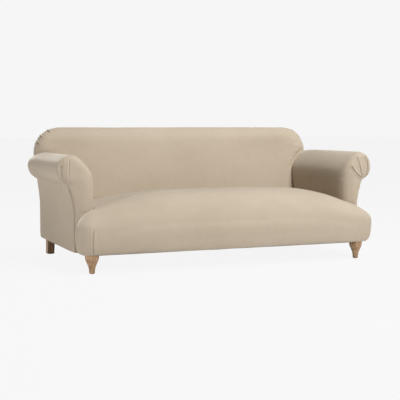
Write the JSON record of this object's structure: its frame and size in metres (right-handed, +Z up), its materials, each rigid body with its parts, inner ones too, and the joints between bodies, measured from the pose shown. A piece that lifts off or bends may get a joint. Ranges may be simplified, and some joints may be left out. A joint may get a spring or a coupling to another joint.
{
  "type": "sofa",
  "caption": "Low upholstered sofa with outward scrolled arms, a fixed crowned seat that wraps in front of the arms, a plain fixed back with rounded corners, and turned front legs.",
  "frame": {"origin": "on the floor, in the middle of the sofa's outline", "axes": "+X across the sofa to the right-hand arm as seen from the front, +Y from the front edge of the seat to the back, +Z up"},
  "size_m": [2, 1.0658, 0.8001],
  "materials": {
    "velvet": "short brushed pile in warm beige, matt with a pale rim at grazing angles",
    "filling": "layered felt, fibre and foam filling, matt",
    "leg_oak": "brown oak with a satin wax",
    "beech": "planed hardwood, unfinished",
    "webbing": "woven jute strap",
    "hessian": "coarse woven jute cloth",
    "dust_cloth": "thin black cotton",
    "spring_steel": "drawn wire, lightly oiled",
    "fixing_steel": "zinc-plated",
    "glide_plastic": "moulded, dull"
  },
  "bodies": {
    "root": {"arm_cover_left": "velvet", "arm_cover_right": "velvet", "arm_filling_left": "filling", "arm_filling_right": "filling", "arm_front_board_left": "beech", "arm_front_board_right": "beech", "arm_lower_rail_left": "beech", "arm_lower_rail_right": "beech", "arm_rear_board_left": "beech", "arm_rear_board_right": "beech", "arm_roll_rail_left": "beech", "arm_roll_rail_right": "beech", "arm_top_rail_left": "beech", "arm_top_rail_right": "beech", "arm_webbing_left": "webbing", "arm_webbing_right": "webbing", "back_corner_blocks": "beech", "back_cover": "velvet", "back_filling": "filling", "back_leg_left": "leg_oak", "back_leg_right": "leg_oak", "back_lower_rail": "beech", "back_post_left": "beech", "back_post_right": "beech", "back_sill_rail": "beech", "back_top_rail": "beech", "back_uprights": "beech", "back_webbing": "webbing", "dust_cover": "dust_cloth", "foot_glides": "glide_plastic", "front_corner_blocks": "beech", "front_leg_left": "leg_oak", "front_leg_right": "leg_oak", "front_seat_rail": "beech", "leg_bolts": "fixing_steel", "outside_arm_left": "velvet", "outside_arm_right": "velvet", "outside_back": "velvet", "seat_cover": "velvet", "seat_filling": "filling", "seat_hessian": "hessian", "seat_springs": "spring_steel", "seat_stretchers": "beech", "side_rail_left": "beech", "side_rail_right": "beech", "spring_clips": "spring_steel", "spring_rail": "beech", "tee_nuts": "fixing_steel"}
  },
  "joints": []
}
